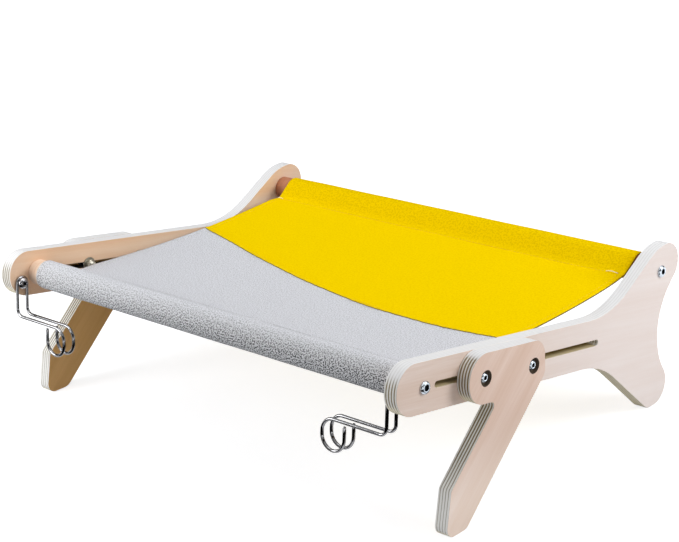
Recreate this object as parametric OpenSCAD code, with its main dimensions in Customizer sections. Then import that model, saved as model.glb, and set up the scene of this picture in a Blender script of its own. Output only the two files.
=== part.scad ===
// Cat hammock: two plywood side panels joined by two dowels, a two-tone sling sewn round the dowels,
// front legs that slide along a slot in each panel, and a bent-wire toy hook inside each panel.
// Millimetres, +X to the right, +Y to the rear, +Z up, floor at z = 0.
// Right-hand pieces are drawn and left-hand ones are their mirror images.

/* [Bed] */
// Width over the outer faces of the side panels
bed_w = 570; // [440:1:760]
// Distance from the front dowel's axis back to the rear dowel's axis
dowel_gap = 389; // [365:1:460]
// Height of the front dowel's axis above the floor
front_h = 153.3; // [140:0.1:175]
// Height of the rear dowel's axis above the floor
rear_h = 149; // [135:0.1:170]

/* [Side panels] */
// Thickness of the side panels' plywood
panel_t = 15; // [11:0.5:22]
// Width of the straight bar, and of the leg's head that covers it
bar_w = 50; // [44:0.5:58]
// Fall of the bar towards the rear, in degrees
bar_slope = 9.7; // [7:0.1:12]
// Reach of the bar's round nose in front of the front dowel's axis
nose_reach = 38.7; // [32:0.1:48]
// Rise of the head's front edge, in degrees
head_front_slope = 29.3; // [24:0.1:36]
// Wood between the rear dowel's axis and the head's front edge
head_front_wood = 27; // [22:0.1:32]
// Wood above the rear dowel's axis
head_top_wood = 27.5; // [22:0.1:32]
// Lean of the head's rear edge, in degrees from the floor
head_rear_slope = 43.1; // [38:0.1:54]
// Wood between the rear dowel's axis and the head's rear edge
head_rear_wood = 26; // [22:0.1:30]
// Lean of the edge above the heel, in degrees from the floor
heel_slope = 57.4; // [50:0.1:64]
// Heel point on the floor, behind the rear dowel's axis
heel_reach = 29.1; // [20:0.1:36]
// Lean of the edge in front of the rear foot, in degrees from the floor
toe_slope = 42.9; // [36:0.1:48]
// Toe point on the floor, in front of the rear dowel's axis
toe_reach = 25.4; // [20:0.1:36]
// Radius of the hollow between bar and head
throat_r = 105; // [60:1:120]
// Radius over the top of the head
crown_r = 60; // [40:1:76]
// Radius at the back of the head
head_r = 23.4; // [14:0.1:26]
// Radius of the hollow behind, between head and foot
waist_r = 72; // [50:1:90]
// Radius of the heel
heel_r = 22.8; // [12:0.1:28]
// Radius of the toe
toe_r = 12; // [6:0.5:30]
// Radius of the hollow between foot and bar
arch_r = 108; // [60:1:130]

/* [Front legs] */
// Thickness of the legs' plywood
leg_t = 15; // [11:0.5:22]
// Front leg bolt, behind the front dowel's axis along the bar
leg_pos = 72; // [60:0.5:150]
// Distance between the two bolts of a leg
leg_bolt_gap = 75; // [64:0.5:90]
// Wood behind the rear leg bolt
leg_back_wood = 17.6; // [14:0.1:24]
// Lean of the shank, in degrees from the floor
leg_slope = 42.3; // [38:0.1:48]
// Width of the shank
shank_w = 48.7; // [40:0.1:56]
// Back of the sole, in front of the front leg bolt
sole_ahead = 36; // [24:0.5:48]
// Length of the sole between its unrounded corners
sole_w = 30.4; // [26:0.1:40]
// Lean of the shin below the knee, in degrees from the floor
shin_slope = 78; // [70:0.5:86]
// Radius of the notch between head and shank
notch_r = 4.5; // [2:0.1:8]
// Radius of the knee
knee_r = 8; // [3:0.5:20]
// Radius at the front of the sole
tip_r = 10; // [5:0.5:12]
// Radius at the back of the sole
sole_r = 14; // [6:0.5:18]
// Radius where the shank's back edge meets the head
hip_r = 11; // [5:0.5:16]
// Radius at the head's upper rear corner
shoulder_r = 18; // [10:0.5:24]

/* [Slot and bolts] */
// Start of the slot behind the front dowel's axis, to the centre of its round end
slot_start = 18.2; // [14:0.1:28]
// Length of the slot between the centres of its round ends
slot_len = 255.5; // [200:0.5:275]
// Diameter of all bolts
bolt_d = 6; // [5:0.5:8]
// Play between a bolt and its hole or slot, on each side
bolt_play = 0.2; // [0.1:0.05:0.4]
// Diameter of the dowel bolts' heads
dowel_head_d = 13; // [10:0.5:16]
// Height of the dowel bolts' heads
dowel_head_h = 3.2; // [2:0.1:5]
// Diameter of the leg bolts' heads
leg_head_d = 10.5; // [9:0.5:13]
// Height of the leg bolts' heads
leg_head_h = 3.6; // [2:0.1:5]
// Hex socket in a bolt's head, across flats
socket_af = 4; // [3:0.5:5]
// Depth of the hex socket
socket_deep = 1.8; // [1:0.1:2]
// Diameter of the counterbore in the leg
counterbore_d = 16; // [14:0.5:20]
// Depth of the counterbore in the leg
counterbore_deep = 4.5; // [4:0.5:8]
// Diameter of the washers
washer_d = 15; // [13:0.5:20]
// Thickness of the washers
washer_t = 1.4; // [1:0.1:2.5]
// Cap nut across flats
nut_af = 11; // [9:0.5:13]
// Height of the cap nut's hexagon
nut_h = 3.5; // [3:0.1:6]
// Diameter of the cap nut's dome
cap_d = 10.4; // [8:0.1:12]
// Height of the cap nut's dome
cap_h = 3; // [2.4:0.1:6]
// Gap between the sliding leg and the panel, on each face
slide_gap = 0.2; // [0.1:0.05:0.5]

/* [Dowels] */
// Diameter of the dowels
dowel_d = 28; // [24:0.5:32]
// Diameter of the threaded inserts
insert_d = 10; // [9:0.5:14]
// Length of the threaded inserts
insert_len = 24; // [16:1:40]
// Length of bolt inside an insert
bolt_bite = 18; // [10:1:22]
// Gap round a piece that is driven in
seat_gap = 0.05; // [0.02:0.01:0.1]

/* [Hooks] */
// Diameter of the hook's wire
wire_d = 3; // [2:0.1:4]
// Distance between the hook's two wires, centre to centre
hook_pitch = 13.4; // [11:0.1:15]
// Hook screw, in front of the front dowel's axis
hook_ahead = 25; // [22:0.1:27]
// Hook screw, below the front dowel's axis
hook_below = 5.2; // [2:0.1:8]
// Drop from the screw to the arms
hook_drop = 35.8; // [28:0.1:50]
// Reach of the arms from the uprights to the middle of the curl
hook_reach = 65; // [45:0.5:90]
// Radius of the bend between upright and arm
bend_r = 8; // [4:0.5:14]
// Radius of the curl
curl_r = 14; // [10:0.1:20]
// Straight part of the curl on the side of the bed's middle
curl_run = 3; // [0.5:0.5:8]
// Straight tail at the end of the curl
tail_len = 12; // [4:0.5:14]
// Forward lean of the hook, in degrees
hook_lean = 6.5; // [0:0.5:12]
// Running fit between the hook's eye and the screw's shoulder
hook_fit = 0.06; // [0.02:0.01:0.1]
// Play of the wire under the screw's head and over the panel
hook_play = 0.3; // [0.2:0.05:0.5]
// Diameter of the hook screw's head
screw_head_d = 12.4; // [11.4:0.1:14]
// Height of the hook screw's head
screw_head_h = 3.5; // [2:0.1:5]
// Diameter of the hook screw's shank
screw_d = 4; // [3:0.5:5]
// Length of the hook screw's shank in the panel
screw_len = 10; // [6:0.5:10]

/* [Sling] */
// Thickness of the cloth
cloth_t = 1.6; // [1:0.1:2.4]
// Gap between a dowel and its sleeve
sleeve_gap = 0.3; // [0.2:0.05:0.6]
// Bare dowel between a panel and the sleeve's end
sleeve_end = 11; // [9:0.5:24]
// Front sleeve's stitch line, behind the front dowel's axis
front_stitch = 42; // [32:0.5:60]
// Front sleeve's stitch line, below the front dowel's axis
front_stitch_drop = 5.8; // [0:0.1:10]
// Rear sleeve's stitch line, in front of the rear dowel's axis
rear_stitch = 28; // [22:0.5:50]
// Rear sleeve's stitch line, below the rear dowel's axis
rear_stitch_drop = 3; // [0:0.1:10]
// Sag of the sheet along its side edges
edge_sag = 7.5; // [2:0.5:14]
// Sag of the sheet along its middle
mid_sag = 11; // [3:0.5:24]
// Join of the two cloths as shares of the sheet's length, control points from left to right
seam_shares = [0.617, 0.476, 0.267, 0.373]; // [0.2:0.001:0.8]
// Gap between the two cloths at the join
seam_gap = 0.3; // [0.1:0.05:0.5]
// Lap of the sleeve's end under the sheet
lap_len = 10; // [5:0.5:16]
// Gap between the lap and the sheet
lap_gap = 0.4; // [0.2:0.05:0.8]

/* [Hidden] */
$fn = 64;
right = 1;
left = -1;
// Overrun of every cut
over = 1;
// Flat left at the middle of a round nose, so that its two arcs stay apart
nose_flat = 1;
// Share of an edge that the rounded corners at its two ends may take together
rounding_share = 0.97;
// Turn of one step along a rounded corner, in degrees
arc_step = 6;
// Straight rim under the dome of a bolt's head
head_rim = 0.7;
// Straight part of the cap nut below its dome
cap_rim = 1;
// Steps along the sheet, round the sleeve and across the sling
sheet_steps = 8;
sleeve_steps = 15;
cloth_stations = 16;

birch = [0.90, 0.82, 0.74];
beech = [0.85, 0.62, 0.42];
zinc = [0.74, 0.76, 0.80];
chrome = [0.80, 0.80, 0.82];
grey_cloth = [0.80, 0.80, 0.82];
yellow_cloth = [0.96, 0.82, 0.02];

// Side faces
outer_x = bed_w / 2;
inner_x = outer_x - panel_t;
leg_x = outer_x + slide_gap;
counterbore_x = leg_x + leg_t - counterbore_deep;
nose_r = (bar_w - nose_flat) / 2;
slot_w = bolt_d + 2 * bolt_play;

// Places in the side view are [y, z], with y from the front dowel's axis
front_axis = [0, front_h];
rear_axis = [dowel_gap, rear_h];
hook_axis = front_axis - [hook_ahead, hook_below];

// Point beside the bar: s along it from the front dowel's axis, n square to it
function bar_point(s, n) = [
    s * cos(bar_slope) + n * sin(bar_slope),
    front_h - s * sin(bar_slope) + n * cos(bar_slope)
];
function heading(a) = [cos(a), sin(a)];
function unit(v) = v / norm(v);
function aim(v) = atan2(v[1], v[0]);
function half_turn(a) = a - 360 * round(a / 360);
// Point at distance d to the left of a line through p with heading a
function beside_line(p, a, d) = p + d * heading(a + 90);
// Crossing of a line through p with heading a and a line through q with heading b
function meet(p, a, q, b) = p + heading(a) * cross(q - p, heading(b)) / cross(heading(a), heading(b));

// Centre of the arc that rounds corner p, for radius r
function corner_centre(before, p, after, r) =
    let (
        u = unit(before - p),
        v = unit(after - p)
    )
    p + unit(u + v) * r / sin(acos(u * v) / 2);
// Points of the arc that rounds corner p
function corner_arc(before, p, after, r) =
    let (
        c = corner_centre(before, p, after, r),
        reach = r / tan(acos(unit(before - p) * unit(after - p)) / 2),
        start = aim(p + unit(before - p) * reach - c),
        turn = half_turn(aim(p + unit(after - p) * reach - c) - start),
        steps = max(2, ceil(abs(turn) / arc_step))
    )
    [for (i = [0:steps]) c + r * heading(start + turn * i / steps)];
// Outline through corners that are [point, radius]; the arcs at the ends of a short edge share it
function rounded(corners) =
    let (
        n = len(corners),
        place = [for (c = corners) c[0]],
        edge = [for (i = [0:n - 1]) place[(i + 1) % n] - place[i]],
        reach = [for (i = [0:n - 1])
            let (out = unit(edge[i]), back = -unit(edge[(i + n - 1) % n]))
            corners[i][1] / tan(acos(out * back) / 2)],
        room = [for (i = [0:n - 1])
            rounding_share * norm(edge[i]) / (reach[i] + reach[(i + 1) % n])]
    )
    [for (i = [0:n - 1])
        let (
            before = (i + n - 1) % n,
            r = corners[i][1] * min(1, room[i], room[before])
        )
        each corner_arc(place[before], place[i], place[(i + 1) % n], r)];

// Lines that the panel and the leg share
bar_top = bar_point(0, bar_w / 2);
bar_foot = bar_point(0, -bar_w / 2);

// Side panel: lines of the head and the rear foot
head_front = beside_line(rear_axis, head_front_slope, head_front_wood);
head_top = rear_axis + [0, head_top_wood];
head_rear = beside_line(rear_axis, head_rear_slope, -head_rear_wood);
heel = [dowel_gap + heel_reach, 0];
toe = [dowel_gap - toe_reach, 0];
waist = meet(heel, 180 - heel_slope, head_rear, head_rear_slope);
head_back = meet(head_rear, head_rear_slope, head_top, 0);
crown = meet(head_top, 0, head_front, head_front_slope);
panel_corners = [
    [bar_point(-nose_reach, -bar_w / 2), nose_r],
    [meet(bar_foot, -bar_slope, toe, 180 - toe_slope), arch_r],
    [toe, toe_r],
    [heel, heel_r],
    [waist, waist_r],
    [head_back, head_r],
    [crown, crown_r],
    [meet(head_front, head_front_slope, bar_top, -bar_slope), throat_r],
    [bar_point(-nose_reach, bar_w / 2), nose_r]
];

// Slot along the middle of the bar
slot_r = slot_w / 2;
slot_front = slot_start - slot_r;
slot_rear = slot_start + slot_len + slot_r;
slot_corners = [
    [bar_point(slot_front, -slot_r), slot_r],
    [bar_point(slot_rear, -slot_r), slot_r],
    [bar_point(slot_rear, slot_r), slot_r],
    [bar_point(slot_front, slot_r), slot_r]
];

// Front leg: lines of the shank and the sole
leg_front = bar_point(leg_pos, 0);
leg_rear = bar_point(leg_pos + leg_bolt_gap, 0);
leg_back = leg_rear + [leg_back_wood, 0];
sole_back = [leg_front[0] - sole_ahead, 0];
sole_tip = sole_back - [sole_w, 0];
shank_front = beside_line(sole_back, leg_slope, shank_w);
leg_corners = [
    [bar_point(leg_pos - bar_w / 2, -bar_w / 2), nose_r],
    [meet(bar_foot, -bar_slope, shank_front, leg_slope), notch_r],
    [meet(shank_front, leg_slope, sole_tip, shin_slope), knee_r],
    [sole_tip, tip_r],
    [sole_back, sole_r],
    [meet(sole_back, leg_slope, leg_back, 90), hip_r],
    [meet(leg_back, 90, bar_top, -bar_slope), shoulder_r],
    [bar_point(leg_pos - bar_w / 2, bar_w / 2), nose_r]
];

// The origin lies midway between the foremost point, on the nose or the hook, and the back of the head
panel_outline = rounded(panel_corners);
rear_end = max([for (p = panel_outline) p[0]]);
nose_end = min([for (p = panel_outline) p[0]]);
hook_low = hook_drop + 2 * curl_r + curl_run;
hook_end = hook_axis[0] - hook_pitch / 2 * cos(hook_lean) - hook_low * sin(hook_lean) - wire_d / 2;
mid_y = (min(nose_end, hook_end) + rear_end) / 2;

// Helpers that place and shape the pieces
module on_side(side) {
    if (side == right) children();
    else mirror([1, 0, 0]) children();
}

module at(x, place) {
    translate([x, place[0] - mid_y, place[1]]) children();
}

// Plate of a side-view outline, from x to x + t
module plate(x, t, outline) {
    at(x, [0, 0]) rotate([90, 0, 90]) linear_extrude(t) polygon(outline);
}

// Round bar along X, from the current place towards +X
module rod(d, length) {
    rotate([0, 90, 0]) cylinder(d = d, h = length);
}

// Cylinder with a domed end, along +X
module domed(d, h, rim) {
    dome_h = h - rim;
    dome_r = (d * d / 4 + dome_h * dome_h) / (2 * dome_h);
    rotate([0, 90, 0]) intersection() {
        cylinder(d = d, h = h);
        translate([0, 0, h - dome_r]) sphere(dome_r);
    }
}

// Domed bolt along X: the head's seat lies at x = 0 and the shank points to -X
module button_bolt(head_d, head_h, length) {
    difference() {
        union() {
            domed(head_d, head_h, head_rim);
            translate([-length, 0, 0]) rod(bolt_d, length);
        }
        translate([head_h - socket_deep, 0, 0])
            rotate([0, 90, 0]) cylinder(d = socket_af / cos(30), h = socket_deep + over, $fn = 6);
    }
}

// Side panel with its slot, dowel bolt holes and hook screw hole
module side_panel(side) {
    color(birch) on_side(side) difference() {
        plate(inner_x, panel_t, panel_outline);
        for (axis = [front_axis, rear_axis])
            at(inner_x - over, axis) rod(slot_w, panel_t + 2 * over);
        plate(inner_x - over, panel_t + 2 * over, rounded(slot_corners));
        at(inner_x - over, hook_axis) rod(screw_d + 2 * seat_gap, screw_len + over + seat_gap);
    }
}

// Front leg, a 7 in side view, with two counterbored bolt holes
module front_leg(side) {
    color(birch) on_side(side) difference() {
        plate(leg_x, leg_t, rounded(leg_corners));
        for (place = [leg_front, leg_rear]) {
            at(leg_x - over, place) rod(slot_w, leg_t + 2 * over);
            at(counterbore_x, place) rod(counterbore_d, counterbore_deep + over);
        }
    }
}

// Dowel between the panels, drilled at both ends for its inserts
module dowel(axis) {
    color(beech) difference() {
        at(-inner_x, axis) rod(dowel_d, 2 * inner_x);
        for (side = [left, right])
            on_side(side) at(inner_x - insert_len - seat_gap, axis)
                rod(insert_d + 2 * seat_gap, insert_len + seat_gap + over);
    }
}

// Threaded inserts, flush with the dowel's ends
module inserts(axis) {
    color(zinc) for (side = [left, right])
        on_side(side) at(inner_x - insert_len, axis) difference() {
            rod(insert_d, insert_len);
            translate([-over, 0, 0]) rod(bolt_d + 2 * seat_gap, insert_len + 2 * over);
        }
}

// Bolt through the panel into the dowel's insert, its head proud of the outer face
module dowel_bolt(side, axis) {
    color(zinc) on_side(side) at(outer_x, axis)
        button_bolt(dowel_head_d, dowel_head_h, panel_t + bolt_bite);
}

// Bolt through leg, slot and washer into the cap nut, its head in the counterbore
module leg_bolt(side, place) {
    grip = counterbore_x - inner_x + slide_gap + washer_t + nut_h;
    color(zinc) on_side(side) at(counterbore_x, place) button_bolt(leg_head_d, leg_head_h, grip);
}

// Washers on the panel's inner face, across the slot
module leg_washers(side) {
    color(zinc) on_side(side) for (place = [leg_front, leg_rear])
        at(inner_x - slide_gap - washer_t, place) difference() {
            rod(washer_d, washer_t);
            translate([-over, 0, 0]) rod(slot_w, washer_t + 2 * over);
        }
}

// Cap nuts on the washers
module leg_nuts(side) {
    color(zinc) on_side(side) for (place = [leg_front, leg_rear])
        at(inner_x - slide_gap - washer_t, place) mirror([1, 0, 0]) difference() {
            union() {
                rotate([0, 90, 0]) cylinder(d = nut_af / cos(30), h = nut_h, $fn = 6);
                translate([nut_h, 0, 0]) domed(cap_d, cap_h, cap_rim);
            }
            translate([-over, 0, 0]) rod(bolt_d + 2 * seat_gap, nut_h + over + seat_gap);
        }
}

// Part of a ring of wire, in the XY plane, from angle start over angle turn
module wire_arc(r, start, turn) {
    rotate([0, 0, start]) rotate_extrude(angle = turn) translate([r, 0]) circle(d = wire_d);
}

// Toy hook: one wire bent double, with an eye over the screw and a curl at each end
module hook(side) {
    upright = hook_drop - bend_r;
    color(chrome) on_side(side) at(inner_x - hook_play - wire_d / 2, hook_axis)
        rotate([-hook_lean, 0, 0]) {
            rotate([90, 0, 90]) wire_arc(hook_pitch / 2, 0, 180);
            for (y = [-hook_pitch / 2, hook_pitch / 2]) translate([0, y, 0]) {
                translate([0, 0, -upright]) cylinder(d = wire_d, h = upright);
                translate([-bend_r, 0, -upright]) rotate([90, 0, 0]) wire_arc(bend_r, -90, 90);
                translate([-hook_reach, 0, -hook_drop]) rod(wire_d, hook_reach - bend_r);
                translate([-hook_reach, 0, -hook_drop - curl_r]) {
                    rotate([90, 0, 0]) wire_arc(curl_r, 90, 90);
                    translate([-curl_r, 0, -curl_run]) cylinder(d = wire_d, h = curl_run);
                    translate([0, 0, -curl_run]) rotate([90, 0, 0]) wire_arc(curl_r, 180, 180);
                    translate([curl_r, 0, -curl_run]) cylinder(d = wire_d, h = tail_len);
                }
            }
        }
}

// Shouldered screw that carries the hook's eye
module hook_screw(side) {
    shoulder = wire_d + 2 * hook_play;
    color(zinc) on_side(side) at(inner_x, hook_axis) mirror([1, 0, 0]) difference() {
        union() {
            translate([-screw_len, 0, 0]) rod(screw_d, screw_len);
            rod(hook_pitch - wire_d - 2 * hook_fit, shoulder);
            translate([shoulder, 0, 0]) domed(screw_head_d, screw_head_h, head_rim);
        }
        translate([shoulder + screw_head_h - socket_deep, 0, 0])
            rotate([0, 90, 0]) cylinder(d = socket_af / cos(30), h = socket_deep + over, $fn = 6);
    }
}

// Sling: the sheet hangs between the two stitch lines
sling_half = inner_x - sleeve_end;
sleeve_r = dowel_d / 2 + sleeve_gap + cloth_t / 2;
lap_step = cloth_t + lap_gap;
front_line = front_axis + [front_stitch, -front_stitch_drop];
rear_line = rear_axis - [rear_stitch, rear_stitch_drop];

function sheet_point(x, share) =
    let (sag = edge_sag + (mid_sag - edge_sag) * (1 - x * x / (sling_half * sling_half)))
    front_line + (rear_line - front_line) * share - [0, 4 * sag * share * (1 - share)];
// Place of the join, as a share of the sheet's length, on a smooth curve across the bed
function seam_share(x) =
    let (t = (x / sling_half + 1) / 2, s = seam_shares)
    s[0] * pow(1 - t, 3) + 3 * s[1] * t * pow(1 - t, 2) + 3 * s[2] * t * t * (1 - t) + s[3] * pow(t, 3);

// Middle line of one cloth at station x: from the join along the sheet to the stitch line, round the
// dowel and back under the sheet. The way is +1 at the front dowel and -1 at the rear one.
function cloth_line(x, axis, line, end_share, way) =
    let (
        length = norm(rear_line - front_line),
        join = seam_share(x) - way * seam_gap / 2 / length,
        lap_share = end_share + way * lap_len / length,
        from = [way * (line[0] - axis[0]), line[1] - axis[1]],
        under = from - [0, lap_step],
        start = aim(from) + acos(sleeve_r / norm(from)),
        end = aim(under) - acos(sleeve_r / norm(under)) + 360
    )
    [
        for (i = [0:sheet_steps]) sheet_point(x, join + (end_share - join) * i / sheet_steps),
        for (i = [0:sleeve_steps])
            let (p = sleeve_r * heading(start + (end - start) * i / sleeve_steps))
            axis + [way * p[0], p[1]],
        line - [0, lap_step],
        sheet_point(x, lap_share) - [0, lap_step]
    ];

// Closed outline of a strip of cloth along its middle line
function strip(points) =
    let (
        n = len(points),
        side = [for (i = [0:n - 1])
            let (d = unit(points[min(i + 1, n - 1)] - points[max(i - 1, 0)]))
            [-d[1], d[0]] * cloth_t / 2]
    )
    [
        for (i = [0:n - 1]) points[i] + side[i],
        for (i = [n - 1:-1:0]) points[i] - side[i]
    ];

// Strip swept across the bed, one outline at each station, closed by a strip of faces at each end
module cloth(axis, line, end_share, way) {
    rings = [for (k = [0:cloth_stations])
        let (x = sling_half * (2 * k / cloth_stations - 1))
        [for (p = strip(cloth_line(x, axis, line, end_share, way))) [x, p[0] - mid_y, p[1]]]];
    n = len(rings[0]);
    last = cloth_stations * n;
    walls = [for (k = [0:cloth_stations - 1], i = [0:n - 1])
        let (a = k * n + i, b = k * n + (i + 1) % n)
        each [[a, b, a + n], [b, b + n, a + n]]];
    ends = [for (i = [0:n / 2 - 2])
        let (j = n - 1 - i)
        each [
            [i, j, i + 1], [i + 1, j, j - 1],
            [last + i, last + i + 1, last + j], [last + i + 1, last + j - 1, last + j]
        ]];
    faces = concat(walls, ends);
    turned = [for (f = faces) [f[2], f[1], f[0]]];
    polyhedron([for (r = rings) each r], way > 0 ? turned : faces);
}

module front_cloth() {
    color(grey_cloth) cloth(front_axis, front_line, 0, 1);
}

module rear_cloth() {
    color(yellow_cloth) cloth(rear_axis, rear_line, 1, -1);
}

side_panel(left);  // left_side_panel
side_panel(right);  // right_side_panel
front_leg(left);  // left_front_leg
front_leg(right);  // right_front_leg
dowel(front_axis);  // front_dowel
dowel(rear_axis);  // rear_dowel
inserts(front_axis);  // front_dowel_inserts
inserts(rear_axis);  // rear_dowel_inserts
dowel_bolt(left, front_axis);  // left_front_dowel_bolt
dowel_bolt(left, rear_axis);  // left_rear_dowel_bolt
dowel_bolt(right, front_axis);  // right_front_dowel_bolt
dowel_bolt(right, rear_axis);  // right_rear_dowel_bolt
leg_bolt(left, leg_front);  // left_leg_front_bolt
leg_bolt(left, leg_rear);  // left_leg_rear_bolt
leg_bolt(right, leg_front);  // right_leg_front_bolt
leg_bolt(right, leg_rear);  // right_leg_rear_bolt
leg_washers(left);  // left_leg_washers
leg_washers(right);  // right_leg_washers
leg_nuts(left);  // left_leg_nuts
leg_nuts(right);  // right_leg_nuts
hook(left);  // left_hook
hook(right);  // right_hook
hook_screw(left);  // left_hook_screw
hook_screw(right);  // right_hook_screw
front_cloth();  // sling_front_cloth
rear_cloth();  // sling_rear_cloth
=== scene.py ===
import math

import bmesh
import bpy
from mathutils import Matrix, Vector


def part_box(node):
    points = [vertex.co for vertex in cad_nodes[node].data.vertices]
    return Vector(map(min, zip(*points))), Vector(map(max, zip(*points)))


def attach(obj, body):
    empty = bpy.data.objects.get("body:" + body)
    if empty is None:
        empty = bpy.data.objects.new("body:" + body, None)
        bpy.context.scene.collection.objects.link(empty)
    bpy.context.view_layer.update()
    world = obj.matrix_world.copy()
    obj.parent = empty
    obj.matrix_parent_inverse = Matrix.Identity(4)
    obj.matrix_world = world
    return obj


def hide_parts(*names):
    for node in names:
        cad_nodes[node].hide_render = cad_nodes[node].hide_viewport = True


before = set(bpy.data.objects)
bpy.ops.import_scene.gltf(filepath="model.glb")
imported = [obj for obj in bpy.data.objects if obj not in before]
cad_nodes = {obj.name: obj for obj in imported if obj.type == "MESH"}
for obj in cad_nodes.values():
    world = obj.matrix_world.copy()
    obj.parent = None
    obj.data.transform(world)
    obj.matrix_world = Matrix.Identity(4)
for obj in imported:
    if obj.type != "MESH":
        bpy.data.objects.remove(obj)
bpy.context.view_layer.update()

# Side panels. Two mirrored dog-bone plates of 15 mm birch plywood, routed to outline with a long
# adjusting slot and bolt holes. The rims are sanded round and the wood is varnished matt, so every
# edge shows its plies: pale veneer outside, a warmer sheet towards the bed.
mm = 0.001
panel_inner_x = 270 * mm
ply_thick = 15 * mm
panel_outer_x = panel_inner_x + ply_thick
rim_sanding, rim_steps = 0.9 * mm, 3
bar_slope = math.radians(9.7)
slot_start, slot_end, slot_half = 18.2 * mm, 273.7 * mm, 3.2 * mm


def feed(tree, node, inputs):
    """Sets a node's inputs to plain values or links them to the sockets that feed them."""
    for key, value in inputs.items():
        if isinstance(value, bpy.types.NodeSocket):
            tree.links.new(value, node.inputs[key])
        else:
            node.inputs[key].default_value = value


def put(tree, kind, inputs=None, **settings):
    """Adds a shader node of a kind to a tree, with its settings and what feeds it."""
    made = tree.nodes.new("ShaderNode" + kind)
    for key, value in settings.items():
        setattr(made, key, value)
    feed(tree, made, inputs or {})
    return made


def calc(tree, operation, first, second=0.0, third=0.0):
    """Socket of a math node."""
    return put(tree, "Math", {0: first, 1: second, 2: third}, operation=operation).outputs[0]


def ease(tree, value, low, high, start=0.0, end=1.0):
    """Socket that climbs smoothly from start to end while value goes from low to high."""
    return put(tree, "MapRange", {"Value": value, "From Min": low, "From Max": high, "To Min": start,
                                  "To Max": end}, interpolation_type="SMOOTHSTEP").outputs["Result"]


def tint(tree, share, first, second):
    """Socket of a colour between first and second, each of them a plain colour or a socket."""
    first, second = [c if isinstance(c, bpy.types.NodeSocket) else (*c, 1.0) for c in (first, second)]
    return put(tree, "Mix", {0: share, 6: first, 7: second}, data_type="RGBA", clamp_factor=True).outputs[2]


def stretched_noise(tree, place, stretch, detail=2.0, rough=0.5, bend=0.0):
    """Value of a noise whose grains are stretched by different counts per metre along x, y and z."""
    scaled = put(tree, "Mapping", {"Vector": place, "Scale": stretch})
    return put(tree, "TexNoise", {"Vector": scaled.outputs[0], "Scale": 1.0, "Detail": detail,
                                  "Roughness": rough, "Distortion": bend}).outputs[0]


def bumped(tree, height, strength, deep):
    """Socket of the normals of a surface that height raises by up to deep."""
    return put(tree, "Bump", {"Height": height, "Strength": strength, "Distance": deep}).outputs[0]


def shared_effect(name, inputs, outputs):
    """Empty node group with named sockets, and its two end nodes."""
    group = bpy.data.node_groups.new(name, "ShaderNodeTree")
    for side, sockets in (("INPUT", inputs), ("OUTPUT", outputs)):
        for label, kind in sockets:
            group.interface.new_socket(name=label, in_out=side, socket_type="NodeSocket" + kind)
    return group, group.nodes.new("NodeGroupInput"), group.nodes.new("NodeGroupOutput")


def new_finish(name):
    """Fresh material with its tree and its Principled shader."""
    material = bpy.data.materials.new(name)
    material.use_nodes = True
    return material, material.node_tree, material.node_tree.nodes["Principled BSDF"]


def new_object(name, data):
    """Object of the scene that shows data."""
    made = bpy.data.objects.new(name, data)
    bpy.context.scene.collection.objects.link(made)
    return made


def add_piece(name, mesh, materials, body, slot, *stood_for):
    """Puts a mesh into the scene as a piece that rides on a body."""
    piece = new_object(name, mesh)
    for material in materials:
        mesh.materials.append(material)
    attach(piece, body)
    if stood_for:
        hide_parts(*stood_for)
    return piece


def axis_of(node):
    """Middle of a node's box as (y, z): the axis of a piece that lies along x."""
    low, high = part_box(node)
    return Vector(((low.y + high.y) / 2, (low.z + high.z) / 2))


def smooth_faces(mesh):
    """Shades a mesh smooth, apart from its sharp edges."""
    mesh.shade_smooth()
    mesh.set_sharp_from_angle(angle=math.radians(40))


def sanded_plate(node):
    """Copy of a plate's solid with its square rims rounded as sanding leaves them."""
    weld, flat, square = 1e-6, math.radians(0.4), math.radians(50)
    mesh = cad_nodes[node].data.copy()
    mesh.materials.clear()
    bm = bmesh.new()
    bm.from_mesh(mesh)
    bmesh.ops.remove_doubles(bm, verts=bm.verts, dist=weld)
    bmesh.ops.dissolve_limit(bm, angle_limit=flat, verts=bm.verts, edges=bm.edges)
    rims = [e for e in bm.edges if len(e.link_faces) == 2 and e.calc_face_angle() > square]
    bmesh.ops.bevel(bm, geom=rims, offset=rim_sanding, offset_type="OFFSET", segments=rim_steps,
                    profile=0.5, affect="EDGES", clamp_overlap=True)
    bmesh.ops.triangulate(bm, faces=[f for f in bm.faces if len(f.verts) > 4])
    bm.to_mesh(mesh)
    bm.free()
    smooth_faces(mesh)
    return mesh


def even_shading(piece):
    """Lets the large flat faces of a plate set the shading of its rims."""
    even = piece.modifiers.new("even_shading", "WEIGHTED_NORMAL")
    even.weight = 100
    even.keep_sharp = True


def birch_figure_effect():
    """Figure of rotary-cut birch: long fibres, soft streaks and broad clouds along the grain."""
    tree, ends, result = shared_effect(
        "birch_figure", [("Place", "Vector"), ("Pale", "Color"), ("Brown", "Color")],
        [("Color", "Color"), ("Height", "Float")])
    place = ends.outputs["Place"]
    fibres = stretched_noise(tree, place, (300, 45, 1900), 2.0, 0.6)
    streaks = stretched_noise(tree, place, (30, 7, 210), 4.0, 0.62, 0.25)
    clouds = stretched_noise(tree, place, (9, 3.2, 34), 3.0, 0.5, 0.7)
    figure = calc(tree, "MULTIPLY_ADD", fibres, 0.5, -0.25)
    figure = calc(tree, "ADD", figure, calc(tree, "MULTIPLY_ADD", streaks, 1.1, -0.55))
    figure = calc(tree, "ADD", figure, calc(tree, "MULTIPLY_ADD", clouds, 1.9, -0.45))
    tone = tint(tree, figure, ends.outputs["Pale"], ends.outputs["Brown"])
    feed(tree, result, {"Color": tone, "Height": fibres})
    return tree


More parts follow.
